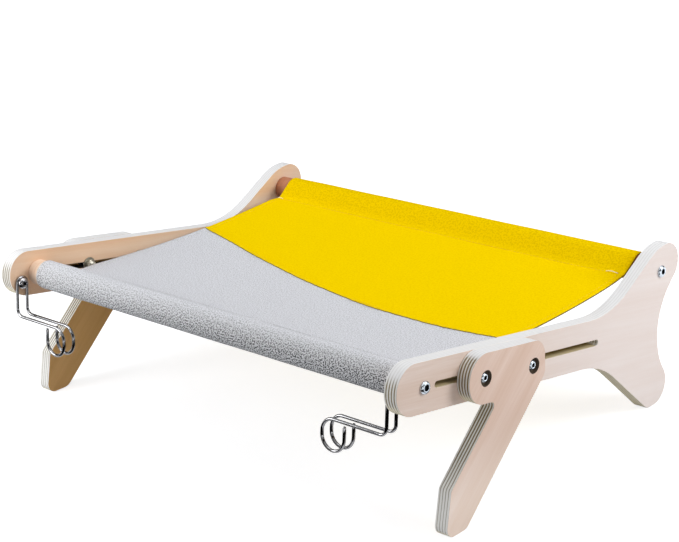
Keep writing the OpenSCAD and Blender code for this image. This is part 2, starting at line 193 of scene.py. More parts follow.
def ply_layers_effect():
    """Edge of plywood: pale long-grain plies between darker end-grain ones, with thin glue lines,
    laid over in part with a pale tone where the edge faces up, as painted light from above."""
    tree, ends, result = shared_effect(
        "ply_layers", [("Depth", "Float"), ("Place", "Vector"), ("Lit from above", "Float"), ("Bands", "Float")],
        [("Color", "Color"), ("Height", "Float")])
    place, bands = ends.outputs["Place"], ends.outputs["Bands"]
    glue_brown, top_light_pale, pale_ply = (0.22, 0.17, 0.10), (0.85, 0.855, 0.87), (0.93, 0.93, 0.90)
    ripple = stretched_noise(tree, place, (60, 60, 60))
    level = calc(tree, "MULTIPLY_ADD", ripple, 0.05, ends.outputs["Depth"])
    step = calc(tree, "FRACT", calc(tree, "MULTIPLY_ADD", level, 4.6, 0.34))
    band_end = calc(tree, "MULTIPLY_ADD", bands, 0.28, 0.18)
    band_fade = calc(tree, "SUBTRACT", band_end, 0.10)
    end_grain = calc(tree, "MULTIPLY", ease(tree, step, 0.02, 0.10), ease(tree, step, band_end, band_fade))
    second_line = calc(tree, "COMPARE", step, calc(tree, "SUBTRACT", band_end, 0.04), 0.045)
    glue = calc(tree, "ADD", ease(tree, step, 0.10, 0.03), second_line)
    pores = stretched_noise(tree, place, (900, 900, 900), 2.0, 0.7)
    soft_wood = tint(tree, pores, (0.84, 0.83, 0.79), (0.73, 0.71, 0.65))
    # Plies with bands below 1 are paled towards pale_ply; the legs use this as painted light near the floor.
    soft_wood = tint(tree, calc(tree, "SUBTRACT", 1.0, bands), soft_wood, pale_ply)
    hard_wood = tint(tree, pores, (0.27, 0.20, 0.10), (0.15, 0.105, 0.05))
    hardness = calc(tree, "MULTIPLY", end_grain, calc(tree, "MULTIPLY_ADD", bands, 0.6, 0.4))
    layer = tint(tree, hardness, soft_wood, hard_wood)
    layer = tint(tree, calc(tree, "MULTIPLY", glue, 0.5), layer, glue_brown)
    # Painted light: where the edge faces up, its plies are laid over with a pale tone, as light from above.
    layer = tint(tree, calc(tree, "MULTIPLY", ends.outputs["Lit from above"], 0.86), layer, top_light_pale)
    feed(tree, result, {"Color": layer, "Height": calc(tree, "SUBTRACT", pores, end_grain)})
    return tree


birch_figure, ply_layers = birch_figure_effect(), ply_layers_effect()


def plywood(name, inner_x, grain_turn, drift_axis, drift, outside, outside_end, inside, inside_end,
            bands, top_light_from):
    """Varnished plywood between |x| = inner_x and one thickness further out. outside and inside are
    the pale and the brown tone of the two face veneers. Between the two places drift along an axis
    the veneers change to outside_end and inside_end, and the brown of the edge plies as bands says.
    Edges that face up more than top_light_from are painted pale as light from above, and those that
    face down are painted a lighter tan as light from below."""
    material, tree, wood = new_finish(name)
    coords = put(tree, "TexCoord")
    place = coords.outputs["Object"]
    x, y, z = put(tree, "SeparateXYZ", {0: place}).outputs
    out, _, up = put(tree, "SeparateXYZ", {0: coords.outputs["Normal"]}).outputs
    drift_place = (x, y, z)[drift_axis]
    depth = calc(tree, "DIVIDE", calc(tree, "SUBTRACT", calc(tree, "ABSOLUTE", x), inner_x), ply_thick)
    grain = put(tree, "Mapping", {"Vector": place, "Rotation": (grain_turn, 0, 0)}).outputs[0]
    drifted = ease(tree, drift_place, *drift)
    inner, outer = [
        put(tree, "Group", {"Place": grain, "Pale": tint(tree, drifted, pale, end_pale),
                            "Brown": tint(tree, drifted, brown, end_brown)}, node_tree=birch_figure)
        for (pale, brown), (end_pale, end_brown) in ((inside, inside_end), (outside, outside_end))]
    layers = put(tree, "Group", {"Depth": depth, "Place": place, "Lit from above": ease(tree, up, *top_light_from),
                                 "Bands": ease(tree, drift_place, *drift, *bands)}, node_tree=ply_layers)
    outward = calc(tree, "MULTIPLY", out, calc(tree, "SIGN", x))
    face = tint(tree, ease(tree, outward, -0.1, 0.1), inner.outputs[0], outer.outputs[0])
    flat = ease(tree, calc(tree, "ABSOLUTE", outward), 0.62, 0.86)
    underside_light_tan = (0.95, 0.86, 0.62)
    # Painted light: edges that face down turn a lighter tan, as light from below.
    edge = tint(tree, ease(tree, up, -0.3, -0.65, 0.0, 0.7), layers.outputs[0], underside_light_tan)
    varnish = ease(tree, outer.outputs[1], 0.2, 0.8, 0.42, 0.56)
    gloss = put(tree, "Mix", {0: flat, 2: 0.75, 3: varnish}).outputs[0]
    height = put(tree, "Mix", {0: flat, 2: layers.outputs[1], 3: outer.outputs[1]}).outputs[0]
    feed(tree, wood, {"Base Color": tint(tree, flat, edge, face), "Roughness": gloss,
                      "Normal": bumped(tree, height, 0.18, 0.4 * mm)})
    return material


def shaded_slot_wall(name, deep, rim):
    """Walls of the slot: a tan at the outer rim, painted darker towards the inside as the shade in the slot.
    """
    material, tree, wood = new_finish(name)
    spot = put(tree, "SeparateXYZ", {0: put(tree, "TexCoord").outputs["Object"]})
    rim_near = ease(tree, calc(tree, "ABSOLUTE", spot.outputs[0]),
                    panel_inner_x + 0.1 * ply_thick, panel_outer_x)
    feed(tree, wood, {"Base Color": tint(tree, rim_near, deep, rim), "Roughness": 0.8})
    return material


def shade_slot_walls(mesh):
    """Gives the slot's walls the panel's second finish, their painted shade. The slot runs along the bar,
    behind the front dowel's axis."""
    axis_y, axis_z = axis_of("front_dowel")
    for face in mesh.polygons:
        y, z = face.center.y - axis_y, face.center.z - axis_z
        run = y * math.cos(bar_slope) - z * math.sin(bar_slope)
        aside = y * math.sin(bar_slope) + z * math.cos(bar_slope)
        if slot_start - mm < run < slot_end + mm and abs(aside) < slot_half + 0.1 * mm:
            face.material_index = 1


birch_panel = plywood("birch_panel", panel_inner_x, bar_slope, 1, (-0.16, 0.12),
                      outside=((0.85, 0.71, 0.63), (0.73, 0.55, 0.44)),
                      outside_end=((0.91, 0.82, 0.775), (0.86, 0.74, 0.68)),
                      inside=((1.0, 0.715, 0.505), (0.90, 0.565, 0.335)),
                      inside_end=((0.96, 0.74, 0.56), (0.88, 0.58, 0.38)),
                      bands=(1.0, 1.0), top_light_from=(0.3, 0.8))
# Painted shade in the slots: the left one near-black, where it lies in shade behind its leg; the right one
# dark brown deep inside, turning tan towards the outer rim.
slot_wall = {"left": shaded_slot_wall("slot_black_painted_shade", (0.012, 0.010, 0.008), (0.03, 0.022, 0.014)),
             "right": shaded_slot_wall("slot_brown_painted_shade", (0.24, 0.175, 0.06), (0.74, 0.63, 0.40))}
for side in ("left", "right"):
    mesh = sanded_plate(f"{side}_side_panel")
    shade_slot_walls(mesh)
    even_shading(add_piece(f"birch_{side}_side_panel", mesh, [birch_panel, slot_wall[side]], "frame",
                           "plywood_panel", f"{side}_side_panel"))

# Dowels. Two turned beech rods, 28 mm thick, that hold the panels apart and carry the sling. Only a
# short bare stub shows beside each sleeve; the drilled ends take the threaded inserts.
dowel_r, dowel_chamfer = 14 * mm, 0.5 * mm
insert_hole_r, insert_deep = 5.05 * mm, 24.05 * mm
dowel_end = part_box("front_dowel")[1].x
dowel_sides = 96


def skin(bm, rings):
    """Strips of faces between each ring of points and the next; a ring may be a single point."""
    strips = []
    for first, second in zip(rings, rings[1:]):
        strip = []
        for k in range(max(len(first), len(second))):
            corners = [first[k % len(first)], first[(k + 1) % len(first)],
                       second[(k + 1) % len(second)], second[k % len(second)]]
            strip.append(bm.faces.new(list(dict.fromkeys(corners))))
        strips.append(strip)
    return strips


def mesh_from(bm, name):
    """Mesh of what was drawn in bm, with all faces turned outwards."""
    bmesh.ops.recalc_face_normals(bm, faces=bm.faces)
    mesh = bpy.data.meshes.new(name)
    bm.to_mesh(mesh)
    bm.free()
    return mesh


def turned(profile, sides, closed=False, second_finish=math.inf):
    """Mesh of a profile turned round the X axis. A point is (x, r) or, for a hexagon of half width
    r, (x, r, 1). An open profile starts and ends on the axis. Faces from the point numbered
    second_finish on get the piece's second material."""
    bm = bmesh.new()
    rings = []
    sixth = math.pi / 3
    for x, r, *hexagon in profile:
        ring = []
        for k in range(sides if r else 1):
            turn = 2 * math.pi * k / sides
            away = r / math.cos((turn + sixth / 2) % sixth - sixth / 2) if hexagon else r
            ring.append(bm.verts.new((x, away * math.cos(turn), away * math.sin(turn))))
        rings.append(ring)
    for n, strip in enumerate(skin(bm, rings + rings[:1] if closed else rings)):
        for face in strip:
            face.material_index = 1 if n >= second_finish else 0
    return mesh_from(bm, "turned")


def seat(mesh, node, x, facing_left=False):
    """Puts a turned mesh on a node's axis with its seat at x, and shades it."""
    mesh.transform(Matrix.Translation((x, *axis_of(node)))
                   @ Matrix.Rotation(math.pi if facing_left else 0, 4, "Z"))
    smooth_faces(mesh)


def turned_beech(name, pale, brown, line):
    """Bare turned wood: flecks along the rod and the fine lines that the tool leaves round it."""
    material, tree, wood = new_finish(name)
    place = put(tree, "TexCoord").outputs["Object"]
    rings = stretched_noise(tree, place, (900, 20, 20), 3.0, 0.6)
    fleck = stretched_noise(tree, place, (70, 900, 900), 2.0, 0.6)
    broad = stretched_noise(tree, place, (8, 120, 120), 3.0, 0.5, 0.4)
    tone = tint(tree, calc(tree, "MULTIPLY_ADD", broad, 1.6, -0.3), pale, brown)
    tone = tint(tree, ease(tree, rings, 0.50, 0.72, 0.0, 0.5), tone, line)
    tone = tint(tree, ease(tree, fleck, 0.60, 0.75, 0.0, 0.4), tone, line)
    feed(tree, wood, {"Base Color": tone, "Roughness": ease(tree, fleck, 0.2, 0.8, 0.5, 0.66),
                      "Normal": bumped(tree, rings, 0.25, 0.3 * mm)})
    return material


half_dowel = [(dowel_end - insert_deep, 0), (dowel_end - insert_deep, insert_hole_r),
              (dowel_end, insert_hole_r), (dowel_end, dowel_r - dowel_chamfer),
              (dowel_end - dowel_chamfer, dowel_r)]
# One beech in two painted copies: the front rod as pale as it goes, as painted light, and the rear rod much
# darker, as painted shade, and redder as well.
pale_beech_painted_light = turned_beech("pale_beech_painted_light", (1.0, 0.81, 0.65), (1.0, 0.76, 0.57), (0.80, 0.45, 0.26))
redder_beech_painted_shade = turned_beech("redder_beech_painted_shade", (0.52, 0.21, 0.11), (0.38, 0.14, 0.065), (0.14, 0.045, 0.02))
for node, beech in (("front_dowel", pale_beech_painted_light), ("rear_dowel", redder_beech_painted_shade)):
    mesh = turned([(-x, r) for x, r in half_dowel] + half_dowel[::-1], dowel_sides)
    seat(mesh, node, 0)
    add_piece(f"beech_{node}", mesh, [beech], "frame", "dowel_wood", node)

# Inserts and dowel bolts. Zinc plated M6 button-head bolts with a hex socket go through each panel
# into steel inserts in the dowels' ends. The low domed heads stand proud of the outer faces.
bolt_r = 3 * mm
# A head is given by its radius, its height and half the width of its hex socket
dowel_head = (6.5 * mm, 3.2 * mm, 2.9 * mm)
socket_deep, socket_points = 2.1 * mm, 3
metal_sides = 48


def metal_marks_effect():
    """Faint handling marks that make a bare metal's gloss uneven."""
    tree, ends, result = shared_effect("metal_marks", [("Place", "Vector")], [("Marks", "Float")])
    smear = stretched_noise(tree, ends.outputs["Place"], (240, 240, 240), 3.0, 0.6)
    hair = stretched_noise(tree, ends.outputs["Place"], (3500, 500, 3500), 1.0)
    feed(tree, result, {"Marks": calc(tree, "MULTIPLY_ADD", smear, 0.7, calc(tree, "MULTIPLY", hair, 0.3))})
    return tree


metal_marks = metal_marks_effect()


def bare_metal(name, colour, dull, bright):
    """Plated metal whose roughness runs from bright to dull along its handling marks."""
    material, tree, metal = new_finish(name)
    place = put(tree, "TexCoord").outputs["Object"]
    marks = put(tree, "Group", {"Place": place}, node_tree=metal_marks).outputs[0]
    dark = tuple(0.72 * c for c in colour)
    feed(tree, metal, {"Base Color": tint(tree, ease(tree, marks, 0.35, 0.7), colour, dark),
                       "Roughness": ease(tree, marks, 0.3, 0.7, bright, dull), "Metallic": 1.0})
    return material


def button_profile(head_r, head_h, socket_half, shank):
    """Profile of a button-head bolt whose head's seat lies at x = 0, shank towards -X. Its last
    points, socket_points in number, are the hex socket."""
    rim, rim_h, tip, mouth = 0.3 * mm, 0.7 * mm, 0.7 * mm, socket_half * 1.27
    bevel, drill_point, dome_steps = 0.25 * mm, 0.4 * mm, 7
    points = [(-shank, 0), (-shank, bolt_r - tip), (tip - shank, bolt_r), (0, bolt_r),
              (0, head_r - rim), (rim, head_r), (rim_h, head_r)]
    for k in range(1, dome_steps + 1):
        lean = math.pi / 2 * k / dome_steps
        points.append((rim_h + (head_h - rim_h) * math.sin(lean) ** 1.2,
                       mouth + (head_r - mouth) * math.cos(lean) ** 0.8))
    points += [(head_h - bevel, socket_half, 1), (head_h - socket_deep, socket_half, 1),
               (head_h - socket_deep - drill_point, 0)]
    return points


def button_bolt(node, head, seat_x, body):
    """Detailed bolt in the place of a bolt's solid; seat_x is where its head bears."""
    low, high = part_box(node)
    side = 1 if high.x > 0 else -1
    shank = seat_x - (low.x if side > 0 else -high.x)
    profile = button_profile(*head, shank)
    mesh = turned(profile, metal_sides, second_finish=len(profile) - socket_points)
    seat(mesh, node, side * seat_x, facing_left=side < 0)
    add_piece(f"zinc_{node}", mesh, [zinc, socket_shade], body, "zinc_steel", node)


zinc = bare_metal("bright_zinc", (0.66, 0.73, 0.80), 0.34, 0.14)
# Painted shade: the faces inside the hex sockets are near-black.
socket_shade = bare_metal("socket_painted_shade", (0.03, 0.035, 0.045), 0.6, 0.4)
for side in ("left", "right"):
    for end in ("front", "rear"):
        button_bolt(f"{side}_{end}_dowel_bolt", dowel_head, panel_outer_x, "frame")
for node in ("front_dowel_inserts", "rear_dowel_inserts"):
    inserts = cad_nodes[node]
    inserts.data.materials.clear()
    inserts.data.materials.append(zinc)

# Front legs. Two mirrored plates of the same plywood shaped like a 7, lying on the panels' outer
# faces. Their veneer runs along the shank and is a little redder than the panels'; the walls of
# the counterbores are painted near-black as the shade inside them.
slide_gap = 0.2 * mm
leg_inner_x = panel_outer_x + slide_gap
counterbore_r, counterbore_deep = 8 * mm, 4.5 * mm
shank_slope = math.radians(42.3)
leg_inside = ((0.96, 0.57, 0.21), (0.80, 0.43, 0.13))
# Painted light and shade along the leg's height: near the floor the veneer is paler and the edge plies
# bleached, as light from the floor; by the head the veneer is darker and the plies browner, as the shade
# under it.
birch_leg = plywood("birch_leg", leg_inner_x, -shank_slope, 2, (0.02, 0.10),
                    outside=((0.98, 0.84, 0.75), (0.88, 0.69, 0.56)),
                    outside_end=((0.86, 0.67, 0.57), (0.74, 0.52, 0.40)),
                    inside=leg_inside, inside_end=leg_inside, bands=(0.3, 1.4), top_light_from=(0.85, 0.97))
# Painted shade: the counterbores' walls are near-black brown.
counterbore_shade, tree, bore = new_finish("counterbore_painted_shade")
bore_shade_grain = stretched_noise(tree, put(tree, "TexCoord").outputs["Object"], (500, 500, 500), 3.0, 0.6)
feed(tree, bore, {"Base Color": tint(tree, bore_shade_grain, (0.16, 0.11, 0.07), (0.05, 0.035, 0.025)),
                  "Roughness": 0.85})
for side in ("left", "right"):
    mesh = sanded_plate(f"{side}_front_leg")
    for end in ("front", "rear"):
        bolt_y, bolt_z = axis_of(f"{side}_leg_{end}_bolt")
        for face in mesh.polygons:
            away = math.hypot(face.center.y - bolt_y, face.center.z - bolt_z)
            if away < counterbore_r + 0.05 * mm:
                face.material_index = 1
    even_shading(add_piece(f"birch_{side}_front_leg", mesh, [birch_leg, counterbore_shade], f"{side}_leg",
                           "plywood_leg", f"{side}_front_leg"))

# Leg bolts, washers and cap nuts. Each leg is clamped by two bolts sunk in counterbores, which run
# in the panel's slot and are closed by washers and domed nuts on the inner face.
leg_head = (5.25 * mm, 3.6 * mm, 2 * mm)
leg_seat_x = leg_inner_x + ply_thick - counterbore_deep
washer_r, washer_hole_r, washer_thick, washer_soft = 8.2 * mm, 3.2 * mm, 1.4 * mm, 0.2 * mm
nut_half, nut_h, nut_chamfer = 5.5 * mm, 3.5 * mm, 0.35 * mm
cap_r, cap_h, cap_wall, cap_steps = 5.2 * mm, 3 * mm, 1 * mm, 6
nut_bore_r = bolt_r + 0.05 * mm
dull_nickel = bare_metal("dull_nickel", (0.50, 0.48, 0.41), 0.42, 0.24)


def washer():
    inner, rim = washer_hole_r, washer_r - washer_soft
    return turned([(0, inner), (0, rim), (washer_soft, washer_r), (washer_thick - washer_soft, washer_r),
                   (washer_thick, rim), (washer_thick, inner)], metal_sides, closed=True)


def cap_nut():
    flat = nut_half - nut_chamfer
    points = [(nut_h, 0), (nut_h, nut_bore_r), (0, nut_bore_r), (0, flat), (nut_chamfer, nut_half, 1),
              (nut_h - nut_chamfer, nut_half, 1), (nut_h, flat), (nut_h, cap_r), (nut_h + cap_wall, cap_r)]
    for k in range(1, cap_steps + 1):
        lean = math.pi / 2 * k / cap_steps
        points.append((nut_h + cap_wall + (cap_h - cap_wall) * math.sin(lean),
                       cap_r * math.cos(lean) if k < cap_steps else 0))
    return turned(points, metal_sides)


def add_pair(side, kind, make, x):
    """Two like pieces at the bolts of a leg as one piece, facing the bed's middle from |x|."""
    on_right = side == "right"
    bm = bmesh.new()
    for end in ("front", "rear"):
        one = make()
        seat(one, f"{side}_leg_{end}_bolt", x if on_right else -x, facing_left=on_right)
        bm.from_mesh(one)
        bpy.data.meshes.remove(one)
    node = f"{side}_leg_{kind}"
    add_piece(f"zinc_{node}", mesh_from(bm, node), [dull_nickel], f"{side}_leg", "zinc_steel", node)


for side in ("left", "right"):
    for end in ("front", "rear"):
        button_bolt(f"{side}_leg_{end}_bolt", leg_head, leg_seat_x, f"{side}_leg")
    add_pair(side, "washers", washer, panel_inner_x - slide_gap)
    add_pair(side, "nuts", cap_nut, panel_inner_x - slide_gap - washer_thick)

# Toy hooks. Each is one chrome plated wire, 3.4 mm thick, bent double: an eye over a shouldered
# screw in the panel's inner face, two uprights, two arms towards the bed's middle and a curl at
# each end.
wire_r, wire_sides = 1.7 * mm, 16
hook_half, hook_drop, hook_reach = 6.5 * mm, 35.8 * mm, 65 * mm
bend_r, curl_r, curl_len, tail_len = 8 * mm, 14 * mm, 3 * mm, 12 * mm
hook_lean = math.radians(6.5)
hook_play = 0.3 * mm
screw_head = (6.2 * mm, 3.5 * mm, 2.2 * mm)
screw_r, screw_len, screw_tip = 2 * mm, 10 * mm, 2 * mm
shoulder_r, shoulder_len = 4.75 * mm, 2 * wire_r + 2 * hook_play
chrome = bare_metal("chrome_plate", (0.31, 0.31, 0.32), 0.09, 0.04)
bright_screw = bare_metal("bright_screw", (0.50, 0.50, 0.52), 0.18, 0.06)


def arc(centre, radius, start, end, plane):
    """Points of an arc, from start to end in degrees; plane puts its two coordinates into space."""
    step, fewest = 6, 3
    count = max(fewest, int(abs(end - start) / step))
    for k in range(count + 1):
        turn = math.radians(start + (end - start) * k / count)
        yield plane(centre[0] + radius * math.cos(turn), centre[1] + radius * math.sin(turn))


def half_hook(y):
    """Wire from the tail of one curl up to the eye, in the plane at y."""
    def plane(x, z):
        return Vector((x, y, z))
    low = -hook_drop - curl_r - curl_len
    points = [plane(curl_r - hook_reach, low + tail_len), plane(curl_r - hook_reach, low + tail_len / 2)]
    points += arc((-hook_reach, low), curl_r, 0, -180, plane)
    points += arc((-hook_reach, low + curl_len), curl_r, 180, 90, plane)
    points += [plane(-hook_reach * share, -hook_drop) for share in (0.75, 0.5, 0.25)]
    points += arc((-bend_r, bend_r - hook_drop), bend_r, -90, 0, plane)
    points.append(plane(0, (bend_r - hook_drop) / 2))
    return points


def ring_round(bm, centre, first, second, radius, sides):
    """Ring of points about centre, in the plane of two unit directions."""
    turns = (2 * math.pi * k / sides for k in range(sides))
    return [bm.verts.new(centre + radius * (first * math.cos(t) + second * math.sin(t))) for t in turns]


def bent_wire(points, radius):
    """Round wire along points, with domed ends and no twist from one ring to the next."""
    bm = bmesh.new()
    rings = []
    way = (points[1] - points[0]).normalized()
    across = way.orthogonal().normalized()
    caps = [(0.0, -1.0), (0.5, -0.87), (0.87, -0.5)]
    stations = [(points[0], share, back) for share, back in caps]
    stations += [(p, 1.0, 0.0) for p in points]
    stations += [(points[-1], share, -back) for share, back in caps[::-1]]
    for k, (p, share, ahead) in enumerate(stations):
        index = min(max(k - len(caps), 0), len(points) - 1)
        before, after = points[max(index - 1, 0)], points[min(index + 1, len(points) - 1)]
        new_way = (after - before).normalized()
        across = (way.rotation_difference(new_way) @ across).normalized()
        way = new_way
        centre = p + way * ahead * radius
        if share == 0:
            rings.append([bm.verts.new(centre)])
        else:
            rings.append(ring_round(bm, centre, across, way.cross(across), radius * share, wire_sides))
    skin(bm, rings)
    mesh = mesh_from(bm, "bent_wire")
    mesh.shade_smooth()
    return mesh


eye = list(arc((0, 0), hook_half, 180, 0, lambda y, z: Vector((0, y, z))))
hook_line = half_hook(-hook_half) + eye + half_hook(hook_half)[::-1]
screw_head_points = [(x + shoulder_len, *rest) for x, *rest in button_profile(*screw_head, 0)[4:]]
screw_profile = [(-screw_len, 0), (screw_tip - screw_len, screw_r), (0, screw_r), (0, shoulder_r),
                 (shoulder_len, shoulder_r)] + screw_head_points
for side, out in (("left", -1), ("right", 1)):
    wire_x = out * (panel_inner_x - hook_play - wire_r)
    hang = (Matrix.Translation((wire_x, *axis_of(f"{side}_hook_screw")))
            @ Matrix.Rotation(-hook_lean, 4, "X") @ Matrix.Diagonal((out, 1, 1, 1)))
    wire = bent_wire([hang @ p for p in hook_line], wire_r)
    add_piece(f"chrome_{side}_hook", wire, [chrome], f"{side}_hook", "chrome_wire", f"{side}_hook")
    screw = turned(screw_profile, metal_sides, second_finish=len(screw_profile) - socket_points)
    seat(screw, f"{side}_hook_screw", out * panel_inner_x, facing_left=out > 0)
    add_piece(f"chrome_{side}_hook_screw", screw, [bright_screw, socket_shade], "frame", "zinc_steel",
              f"{side}_hook_screw")

# Sling. Two woven cloths, light grey in front and yellow behind, joined by a curved seam and sewn
# back on themselves as sleeves round the dowels. The sheet sags a little between its stitch lines
# and puckers along them; its side edges are turned, and the cut rims of both cloths are painted
# dark as the shade along the edges and the seam.
sling_half = 259 * mm
cloth_thick = 1.5 * mm
sleeve_gap, sleeve_half_thick = 0.3 * mm, 0.8 * mm
sleeve_r = dowel_r + sleeve_gap + sleeve_half_thick
front_axis, rear_axis = axis_of("front_dowel"), axis_of("rear_dowel")
front_line = front_axis + Vector((42 * mm, -5.8 * mm))
rear_line = rear_axis + Vector((-28 * mm, -3 * mm))
sheet_len = (rear_line - front_line).length
edge_sag, mid_sag, left_lift = 7.5 * mm, 11 * mm, 0.2 * mm
corner_rise, rise_fade, right_from = 2.5 * mm, 16 * mm, 0.65
corner_dip, dip_fade, left_from = 2.5 * mm, 30 * mm, 0.8
seam_shares = (0.617, 0.476, 0.267, 0.373)
seam_gap, seam_roll, seam_sink = 0.3 * mm, 2.2 * mm, 0.3 * mm
seam_lap, lap_fade = 0.7 * mm, 7 * mm
stitch_pull, stitch_sink = 3 * mm, 0.25 * mm
gather_fade, drag_fade, sleeve_away = 7 * mm, 45 * mm, 30 * mm
lap_len, lap_step, lap_inset = 10 * mm, 1.8 * mm, 6 * mm
hem_w, hem_round, hem_raise, hem_groove = 7 * mm, 1.5 * mm, 0.35 * mm, 0.3 * mm
left_short = 4 * mm
sleeve_short, short_rows = {"front": 1 * mm, "rear": 5 * mm}, 8
sheet_rows, strap_rows, sleeve_rows, lap_rows = 84, 8, 60, 4
last_turn = sheet_rows + strap_rows + sleeve_rows
close_rows, close_power = 8, 1.25
columns, hem_crowding = 148, 0.06
# How the weave opens round a dowel, which also paints the sleeve darker as shade: the row after the
# stitch line where it starts, the rows that it takes, the most it opens, and the share of that at the
# left and at the right end; the larger share at the front's right end paints more shade there
opening_and_shade = {"front": (12, 24, 1.5, 0.68, 1.15), "rear": (0, 3, 1.0, 1.0, 1.0)}


def clamp(value):
    return max(0, min(1, value))


def fade(away, reach):
    """1 on a line, falling to 0 at a distance reach from it."""
    return max(0, 1 - away / reach)


def sheet_point(x, share):
    """Place on the sheet as (y, z): share runs from the front stitch line to the rear one. The rear
    right corner is drawn up to its sleeve and the front left one hangs."""
    right_end = max(0, x / sling_half - right_from) / (1 - right_from)
    left_end = max(0, -x / sling_half - left_from) / (1 - left_from)
    sag = edge_sag + (mid_sag - edge_sag) * (1 - (x / sling_half) ** 2) - left_lift * left_end
    rise = corner_rise * right_end ** 2 * math.exp((share - 1) * sheet_len / rise_fade)
    rise -= corner_dip * left_end * math.exp(-share * sheet_len / dip_fade)
    return front_line.lerp(rear_line, share) + Vector((0, rise - 4 * sag * share * (1 - share)))


def across(x, more=0.0):
    """Place across the bed once the cloth is fitted: its left edge stops short, and more on a sleeve."""
    return x if x > 0 else x * (1 - (left_short + more) / sling_half)


def seam_share(x):
    """Place of the join at x as a share of the sheet's length: a Bezier curve over the bed's width."""
    t = (x / sling_half + 1) / 2
    a, b, c, d = seam_shares
    return a * (1 - t) ** 3 + 3 * b * t * (1 - t) ** 2 + 3 * c * t * t * (1 - t) + d * t ** 3


def lapped(away):
    """Rise of the yellow cloth where it laps onto the grey one along their seam."""
    return seam_lap * fade(away, lap_fade) ** 2


def waves(x, *terms):
    """Sum of sines of x, each given by its height, its length and its start."""
    return sum(height * math.sin(x / (length * mm) + start) for height, length, start in terms)


def pucker(x, away):
    """Small gathers that a stitch line draws into the cloth, fading with the distance from it."""
    gather = waves(x, (0.10, 2.1, 0), (0.08, 3.4, 1.3), (0.06, 5.3, 0.4))
    drag = waves(x, (0.22, 17, 0.7), (0.154, 29, 2.1))
    return mm * (gather * math.exp(-away / gather_fade) + drag * math.exp(-away / drag_fade))


def cloth_row(x, axis, end_share, way):
    """Middle line of one cloth at x, from the seam along the sheet, round the dowel and back to the
    lap, as (y, z) places. way is 1 at the front dowel and -1 at the rear one."""
    join = seam_share(x) - way * seam_gap / 2 / sheet_len
    line = sheet_point(x, end_share)
    step_down = Vector((0, lap_step))
    points = []
    for k in range(sheet_rows + 1):
        run = (k / sheet_rows) ** (close_power if k < close_rows else 1)
        share = join + (end_share - join) * run
        from_seam, from_stitch = abs(share - join) * sheet_len, abs(share - end_share) * sheet_len
        p = sheet_point(x, share)
        p.y += pucker(x, min(from_seam, from_stitch)) * min(1, from_stitch / stitch_pull)
        p.y += lapped(from_seam) if way < 0 else -seam_sink * fade(from_seam, seam_roll) ** 2
        p.y -= stitch_sink * fade(from_stitch, stitch_pull) ** 2
        points.append(p)
    start_at = Vector((way * (line.x - axis.x), line.y - axis.y))
    under = start_at - step_down
    start = math.atan2(start_at.y, start_at.x) + math.acos(sleeve_r / start_at.length)
    end = math.atan2(under.y, under.x) - math.acos(sleeve_r / under.length) + 2 * math.pi
    tangent = axis + Vector((way * math.cos(start), math.sin(start))) * sleeve_r
    for k in range(1, strap_rows):
        p = line.lerp(tangent, k / strap_rows)
        away = (p - line).length
        points.append(p + Vector((0, pucker(x, away) * min(1, away / stitch_pull))))
    for k in range(sleeve_rows + 1):
        turn = start + (end - start) * k / sleeve_rows
        ruck = pucker(x, sleeve_away) * math.sin(math.pi * k / sleeve_rows)
        points.append(axis + Vector((way * math.cos(turn), math.sin(turn))) * (sleeve_r + ruck))
    points.append(line - step_down)
    for k in range(1, lap_rows + 1):
        points.append(sheet_point(x, end_share + way * lap_len * k / lap_rows / sheet_len) - step_down)
    return points


def station(j):
    """Place across the bed of column j; the columns stand closer near the hems."""
    t = 2 * j / columns - 1
    return sling_half * ((1 + hem_crowding) * t - hem_crowding * t ** 3)


def sewn_cloth(name, end, axis, end_share, way):
    """Mesh of one cloth, with its flat cut in metres as the UV map, and its flat area."""
    rows = [cloth_row(station(j), axis, end_share, way) for j in range(columns + 1)]
    count = len(rows[0])
    first_row, open_rows, most, at_left, at_right = opening_and_shade[end]
    verts, flat, round_dowel = [], [], []
    for j, points in enumerate(rows):
        x = station(j)
        from_hem = sling_half - abs(x) - hem_w
        lift = hem_raise * clamp(-from_hem / hem_round) - hem_groove * fade(abs(from_hem), hem_round)
        # Share across the bed, larger to the right, where the front sleeve is painted darker as shade.
        opening_and_shade_across = at_left + (at_right - at_left) * (x / sling_half + 1) / 2
        run = seam_share(x) * sheet_len
        for k, p in enumerate(points):
            if k:
                run += (p - points[k - 1]).length * -way
            raise_by = lift if k <= sheet_rows else 0.0
            more = 0.0
            if k <= last_turn:
                more = sleeve_short[end] * clamp((k - sheet_rows + short_rows) / short_rows)
            tuck = 1 - lap_inset / sling_half if k > last_turn + 1 else 1
            verts.append((tuck * across(x, more), p.x, p.y + raise_by))
            flat.append((x, run))
            round_dowel.append(max(0.0, min(most, (k - sheet_rows - first_row) / open_rows)) * opening_and_shade_across)
    faces = []
    for j in range(columns):
        for k in range(count - 1):
            a, b = j * count + k, (j + 1) * count + k
            faces.append((a, b, b + 1, a + 1) if way < 0 else (a, a + 1, b + 1, b))
    mesh = bpy.data.meshes.new(name)
    mesh.from_pydata(verts, [], faces)
    cut = mesh.uv_layers.new(name="cut")
    for loop in mesh.loops:
        cut.data[loop.index].uv = flat[loop.vertex_index]
    opened_and_shaded = mesh.attributes.new(name="round_dowel", type="FLOAT", domain="POINT")
    opened_and_shaded.data.foreach_set("value", round_dowel)
    mesh.shade_smooth()
    return mesh, sum(face.area for face in mesh.polygons)


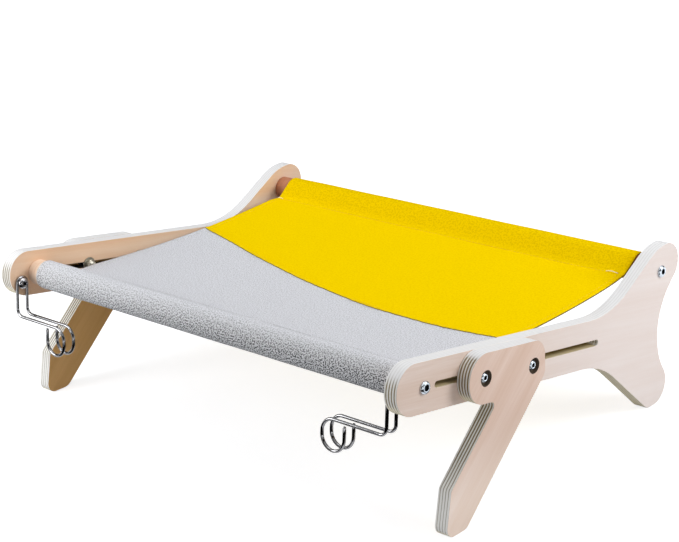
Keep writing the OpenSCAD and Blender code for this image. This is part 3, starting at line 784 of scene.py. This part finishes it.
def woven_effect():
    """Plain weave: crossing threads that rise and dive, uneven yarn and a light nap."""
    tree, ends, result = shared_effect(
        "woven", [("Cut", "Vector"), ("Threads per metre", "Float"), ("Unevenness", "Float"),
                  ("Slubs per metre", "Float")],
        [("Height", "Float"), ("Yarn", "Float"), ("Slub", "Float")])
    cut, threads, unevenness, slubs = list(ends.outputs)[:4]
    uneven = put(tree, "TexNoise", {"Vector": cut, "Scale": 260.0, "Detail": 2.0})
    shift = put(tree, "VectorMath", {0: uneven.outputs["Color"], 1: (0.5, 0.5, 0.5)}, operation="SUBTRACT")
    moved = put(tree, "VectorMath", {0: shift.outputs[0], "Scale": unevenness}, operation="SCALE")
    lay = put(tree, "VectorMath", {0: cut, 1: moved.outputs[0]}, operation="ADD")
    counted = put(tree, "VectorMath", {0: lay.outputs[0], "Scale": threads}, operation="SCALE")
    u, v, _ = put(tree, "SeparateXYZ", {0: counted.outputs[0]}).outputs
    warp, weft = [calc(tree, "ABSOLUTE", calc(tree, "SINE", calc(tree, "MULTIPLY", place, math.pi)))
                  for place in (u, v)]
    steps = calc(tree, "ADD", calc(tree, "FLOOR", u), calc(tree, "FLOOR", v))
    over = calc(tree, "FLOORED_MODULO", steps, 2.0)
    crossing = put(tree, "Mix", {0: over, 2: warp, 3: weft}).outputs[0]
    slub = put(tree, "TexNoise", {"Vector": cut, "Scale": slubs, "Detail": 0.8, "Roughness": 0.6}).outputs[0]
    nap = put(tree, "TexNoise", {"Vector": cut, "Scale": 2600.0, "Detail": 2.0}).outputs[0]
    height = calc(tree, "MULTIPLY_ADD", nap, 0.06, calc(tree, "MULTIPLY_ADD", crossing, 0.12, slub))
    feed(tree, result, {"Height": height, "Yarn": crossing, "Slub": slub})
    return tree


woven = woven_effect()


def upholstery(name, pale, deep, opened_shaded_pale, fleck, threads, slubs, speckle, open_share, relief):
    """Woven cloth from its pale to its deep tone; speckle is the share of tweed flecks. Round a dowel
    the weave opens and shows its dark flecks, and the cloth there is painted darker as shade."""
    material, tree, cloth = new_finish(name)
    cut = put(tree, "UVMap", uv_map="cut").outputs[0]
    weave = put(tree, "Group", {"Cut": cut, "Threads per metre": threads, "Unevenness": 1.2 * mm,
                                "Slubs per metre": slubs}, node_tree=woven)
    tone = tint(tree, ease(tree, weave.outputs["Yarn"], 0.1, 0.9, 0.55, 0.0), pale, deep)
    tone = tint(tree, ease(tree, weave.outputs["Slub"], 0.44, 0.64, 0.0, speckle), tone, deep)
    opened_and_shaded = put(tree, "Attribute", attribute_name="round_dowel").outputs["Fac"]
    # Painted shade: round the dowel the tone darkens and the dark flecks grow.
    tone = tint(tree, opened_and_shaded, tone, opened_shaded_pale)
    dots = ease(tree, weave.outputs["Slub"], 0.48, 0.58, 0.0, open_share)
    tone = tint(tree, calc(tree, "MULTIPLY", opened_and_shaded, dots), tone, fleck)
    height = calc(tree, "MULTIPLY", weave.outputs["Height"], calc(tree, "MULTIPLY_ADD", opened_and_shaded, 1.2, 1.0))
    feed(tree, cloth, {"Base Color": tone, "Roughness": 0.95, "Specular IOR Level": 0.0,
                       "Normal": bumped(tree, height, relief, 4 * mm)})
    return material


def thread_finish(name, pale, deep):
    """Twisted sewing thread; the cloths' rims use it too, in dark tones painted as the shade along them."""
    material, tree, thread = new_finish(name)
    place = put(tree, "TexCoord").outputs["Object"]
    twist = put(tree, "TexNoise", {"Vector": place, "Scale": 1500.0, "Detail": 1.0}).outputs[0]
    feed(tree, thread, {"Base Color": tint(tree, ease(tree, twist, 0.35, 0.65), pale, deep),
                        "Roughness": 0.8, "Normal": bumped(tree, twist, 0.4, 0.4 * mm)})
    return material


def place_along(line, reach, s):
    """Place at the distance s along a line of points; reach holds the distance of each point."""
    k = next((i for i in range(1, len(reach)) if reach[i] >= s), len(reach) - 1)
    return line[k - 1].lerp(line[k], (s - reach[k - 1]) / (reach[k] - reach[k - 1]))


def stitches(name, lines, material, slot):
    """Row of lockstitches along each line of points: short arched threads that dive at both ends."""
    length, gap, radius, sides, parts = 3.4 * mm, 1.1 * mm, 0.32 * mm, 6, 5
    bm = bmesh.new()
    for line in lines:
        reach = [0.0]
        for a, b in zip(line, line[1:]):
            reach.append(reach[-1] + (b - a).length)
        for n in range(int(reach[-1] / (length + gap))):
            s = n * (length + gap) + gap
            way = (place_along(line, reach, s + length) - place_along(line, reach, s)).normalized()
            aside = way.cross(Vector((0, 0, 1))).normalized()
            up = aside.cross(way)
            rings = []
            for k in range(parts + 1):
                arch = math.sin(math.pi * k / parts)
                centre = place_along(line, reach, s + length * k / parts)
                centre += up * radius * (1.3 * arch - 0.7)
                thick = radius * (0.55 + 0.45 * arch ** 0.5 if 0 < k < parts else 0.5)
                rings.append(ring_round(bm, centre, aside, up, thick, sides))
            skin(bm, rings)
            bm.faces.new(rings[0][::-1])
            bm.faces.new(rings[-1])
    mesh = mesh_from(bm, name)
    mesh.shade_smooth()
    return add_piece(name, mesh, [material], "frame", slot)


def on_cloth(x, share, up=0.0):
    p = sheet_point(x, share)
    return Vector((across(x), p.x, p.y + cloth_thick / 2 + up))


def along_bed(share_of, up=0.0, steps=90):
    """Line of points on the sheet across the bed at a share of its length that may change with x."""
    return [on_cloth(x, share_of(x), up) for x in (hem_x * (2 * k / steps - 1) for k in range(steps + 1))]


def down_hem(x, first, last, steps=40):
    return [on_cloth(x, first + (last - first) * k / steps) for k in range(steps + 1)]


seam_off, stitch_off = 3.2 * mm, 1.5 * mm
seam_row, stitch_row = seam_off / sheet_len, stitch_off / sheet_len
hem_x = sling_half - hem_w
grey_lines = [along_bed(lambda x: stitch_row), along_bed(lambda x: seam_share(x) - seam_row)]
yellow_lines = [along_bed(lambda x: 1 - stitch_row),
                along_bed(lambda x: seam_share(x) + seam_row, lapped(seam_off))]
for x in (-hem_x, hem_x):
    grey_lines.append(down_hem(x, 2 * stitch_row, seam_share(x) - seam_row))
    yellow_lines.append(down_hem(x, seam_share(x) + seam_row, 1 - 2 * stitch_row))

# Cut ends of the thread, left at both ends of the rear sleeve's stitching
tail_r, tail_steps = 0.4 * mm, 8
loose_thread = thread_finish("loose_thread", (0.94, 0.92, 0.78), (0.86, 0.82, 0.60))
thread_tails = []
for first, drift in ((236 * mm, 15 * mm), (-246 * mm, -8 * mm)):
    tail = []
    for t in (k / tail_steps for k in range(tail_steps + 1)):
        curl = Vector((0, -2.5 * math.sin(2.2 * t) + 1.5 * t, 1.6 * math.sin(math.pi * t))) * mm
        tail.append(on_cloth(first + drift * t, 1 - stitch_row, tail_r) + curl)
    thread_tails.append(tail)

grey_cloth = upholstery("grey_upholstery", (0.835, 0.85, 0.90), (0.46, 0.465, 0.49),
                        (0.725, 0.73, 0.745), (0.05, 0.052, 0.056), threads=900.0, slubs=700.0,
                        speckle=0.7, open_share=0.85, relief=0.35)
yellow_cloth = upholstery("yellow_upholstery", (0.99, 0.71, 0.0003), (0.86, 0.555, 0.0002),
                          (0.92, 0.635, 0.0003), (0.55, 0.32, 0.0002), threads=1100.0, slubs=420.0,
                          speckle=0.4, open_share=0.28, relief=0.2)
# Painted shade: the cloths' rims take dark tones, as the shade along the edges and the seam.
grey_rim_shade = thread_finish("grey_rim_painted_shade", (0.42, 0.42, 0.43), (0.26, 0.26, 0.27))
yellow_rim_shade = thread_finish("yellow_rim_painted_shade", (0.34, 0.25, 0.01), (0.20, 0.14, 0.005))
grey_thread = thread_finish("grey_thread", (0.70, 0.70, 0.72), (0.55, 0.55, 0.57))
yellow_thread = thread_finish("yellow_thread", (0.94, 0.68, 0.01), (0.82, 0.54, 0.004))
for colour, end, run, finishes, thread, lines, tails in (
        ("grey", "front", (front_axis, 0.0, 1), [grey_cloth, grey_rim_shade], grey_thread, grey_lines, []),
        ("yellow", "rear", (rear_axis, 1.0, -1), [yellow_cloth, yellow_rim_shade], yellow_thread, yellow_lines,
         thread_tails)):
    name, slot = f"{colour}_sling", f"{colour}_cloth"
    mesh, area = sewn_cloth(name, end, *run)
    cloth = add_piece(name, mesh, finishes, "frame", slot, f"sling_{end}_cloth")
    body = cloth.modifiers.new("cloth_thickness", "SOLIDIFY")
    body.thickness = cloth_thick
    body.offset = 0
    body.use_even_offset = True
    # The rims take the cloth's second finish, its painted shade.
    body.material_offset_rim = 1
    sewing = [stitches(f"{name}_stitches", lines, thread, slot)]
    for n, tail in enumerate(tails):
        sewing.append(add_piece(f"thread_end_{n}", bent_wire(tail, tail_r), [loose_thread], "frame", slot))

# Studio. A pale seamless floor, a soft light overhead and three smaller ones, a ring of dark screens
# and dark cards on the floor round each hook. Only shiny surfaces see the screens and the cards, so
# that polished wire keeps its dark streaks.
floor_half = 9.0
screen_far, screen_low, screen_high, screen_half, screens = 4.0, 0.25, 3.0, 0.55, 24
card_bearing, card_z = math.radians(43.4), 2 * mm
# Cards of each hook: place aside and behind, half size across and half size deep
cards = {"left": {"left": (-0.29, 0, 0.18, 0.18), "right": (0.29, 0, 0.08, 0.18),
                  "back": (0, 0.29, 0.18, 0.18), "front": (0, -0.29, 0.18, 0.18)},
         "right": {"left": (-0.40, 0, 0.29, 0.29), "right": (0.29, 0, 0.08, 0.18),
                   "back": (0, 0.29, 0.18, 0.18), "front": (0, -0.48, 0.50, 0.36)}}
# Lamps: power in watts, size and place in metres
lamps = {"overhead": (25.0, 1.4, (-0.2, 0.1, 2.3)), "front_left": (6.6, 0.5, (-0.68, -0.86, 0.42)),
         "front_right": (1.1, 0.5, (1.05, -0.62, 0.2)), "rear_right": (15.5, 0.8, (1.4, 0.75, 0.9))}
lamp_aim = Vector((0, 0, 0.1))


def plane_of(name, half_x, half_y, place, material):
    """Flat sheet of the studio."""
    mesh = bpy.data.meshes.new(name)
    corners = [(-half_x, -half_y, 0), (half_x, -half_y, 0), (half_x, half_y, 0), (-half_x, half_y, 0)]
    mesh.from_pydata(corners, [], [(0, 1, 2, 3)])
    mesh.materials.append(material)
    sheet = new_object(name, mesh)
    sheet.matrix_world = place
    return sheet


def cleared_tree(owner):
    """Empty node tree of a new material or world."""
    owner.use_nodes = True
    owner.node_tree.nodes.clear()
    return owner.node_tree


def seen_directly(tree):
    """Socket that is 1 for the camera and for rays that metal or glass sends on, and 0 for light."""
    path = put(tree, "LightPath")
    straight = calc(tree, "MAXIMUM", path.outputs["Is Camera Ray"], path.outputs["Is Glossy Ray"])
    return calc(tree, "MAXIMUM", straight, path.outputs["Is Transmission Ray"])


def dark_screen(name, half_x, half_y, place):
    """Black sheet that only shiny surfaces see."""
    screen = plane_of(name, half_x, half_y, place, screen_black)
    for ray in ("camera", "diffuse", "shadow", "transmission"):
        setattr(screen, f"visible_{ray}", False)


paper = bpy.data.materials.new("white_paper")
tree = cleared_tree(paper)
spot = put(tree, "NewGeometry").outputs["Position"]
far = put(tree, "VectorMath", {0: spot}, operation="LENGTH").outputs["Value"]
lit = calc(tree, "MULTIPLY", seen_directly(tree), ease(tree, far, 0.4, 1.3, 0.79, 1.0))
matt = put(tree, "BsdfDiffuse", {"Color": (0.51, 0.52, 0.545, 1.0)})
glow = put(tree, "Emission", {"Color": (1, 1, 1, 1), "Strength": lit})
both = put(tree, "AddShader", {0: matt.outputs[0], 1: glow.outputs[0]})
put(tree, "OutputMaterial", {"Surface": both.outputs[0]})
plane_of("studio_floor", floor_half, floor_half, Matrix.Identity(4), paper)

screen_black = bpy.data.materials.new("black_screen")
tree = cleared_tree(screen_black)
black = put(tree, "BsdfDiffuse", {"Color": (0.004, 0.004, 0.004, 1.0)})
put(tree, "OutputMaterial", {"Surface": black.outputs[0]})
for n in range(screens):
    turn = Matrix.Rotation(2 * math.pi * n / screens, 4, "Z")
    place = Matrix.Translation((screen_far, 0, (screen_low + screen_high) / 2))
    dark_screen(f"dark_screen_{n}", (screen_high - screen_low) / 2, screen_half,
                turn @ place @ Matrix.Rotation(math.pi / 2, 4, "Y"))
for side, cards_of_hook in cards.items():
    low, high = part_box(f"{side}_hook")
    under = Matrix.Translation(((low.x + high.x) / 2, (low.y + high.y) / 2, card_z))
    for name, (aside, behind, half_across, half_deep) in cards_of_hook.items():
        dark_screen(f"dark_card_{side}_{name}", half_across, half_deep,
                    under @ Matrix.Rotation(card_bearing, 4, "Z") @ Matrix.Translation((aside, behind, 0)))

world = bpy.data.worlds.new("studio_air")
bpy.context.scene.world = world
tree = cleared_tree(world)
dim = put(tree, "Background", {"Color": (0.98, 0.98, 1.0, 1.0), "Strength": 0.18})
white = put(tree, "Background", {"Color": (1, 1, 1, 1), "Strength": 1.0})
air = put(tree, "MixShader", {0: seen_directly(tree), 1: dim.outputs[0], 2: white.outputs[0]})
put(tree, "OutputWorld", {"Surface": air.outputs[0]})

for name, (power, size, where) in lamps.items():
    lamp = bpy.data.lights.new(name, "AREA")
    lamp.energy = power
    lamp.size = size
    holder = new_object(name, lamp)
    holder.location = where
    holder.rotation_euler = (lamp_aim - Vector(where)).to_track_quat("-Z", "Y").to_euler()

# Camera. It stands 2 m from the bed's middle, off the front right corner, and looks down by 19 degrees
# through a long lens, held a little askew.
camera_spot = (1.2573, front_axis.x - 1.1290, 0.7972)
bearing, rise, roll = math.radians(43.4226), math.radians(19.4277), math.radians(-3.2131)
lens = bpy.data.cameras.new("camera")
lens.sensor_width = 36.0
lens.lens = 94.886
lens.shift_x, lens.shift_y = -0.001, -0.0044
lens.clip_end = 40.0
camera = new_object("camera", lens)
camera.matrix_world = (Matrix.Translation(camera_spot) @ Matrix.Rotation(bearing, 4, "Z")
                       @ Matrix.Rotation(math.pi / 2 - rise, 4, "X") @ Matrix.Rotation(roll, 4, "Z"))
bpy.context.scene.camera = camera
bpy.context.scene.view_settings.view_transform = "Standard"
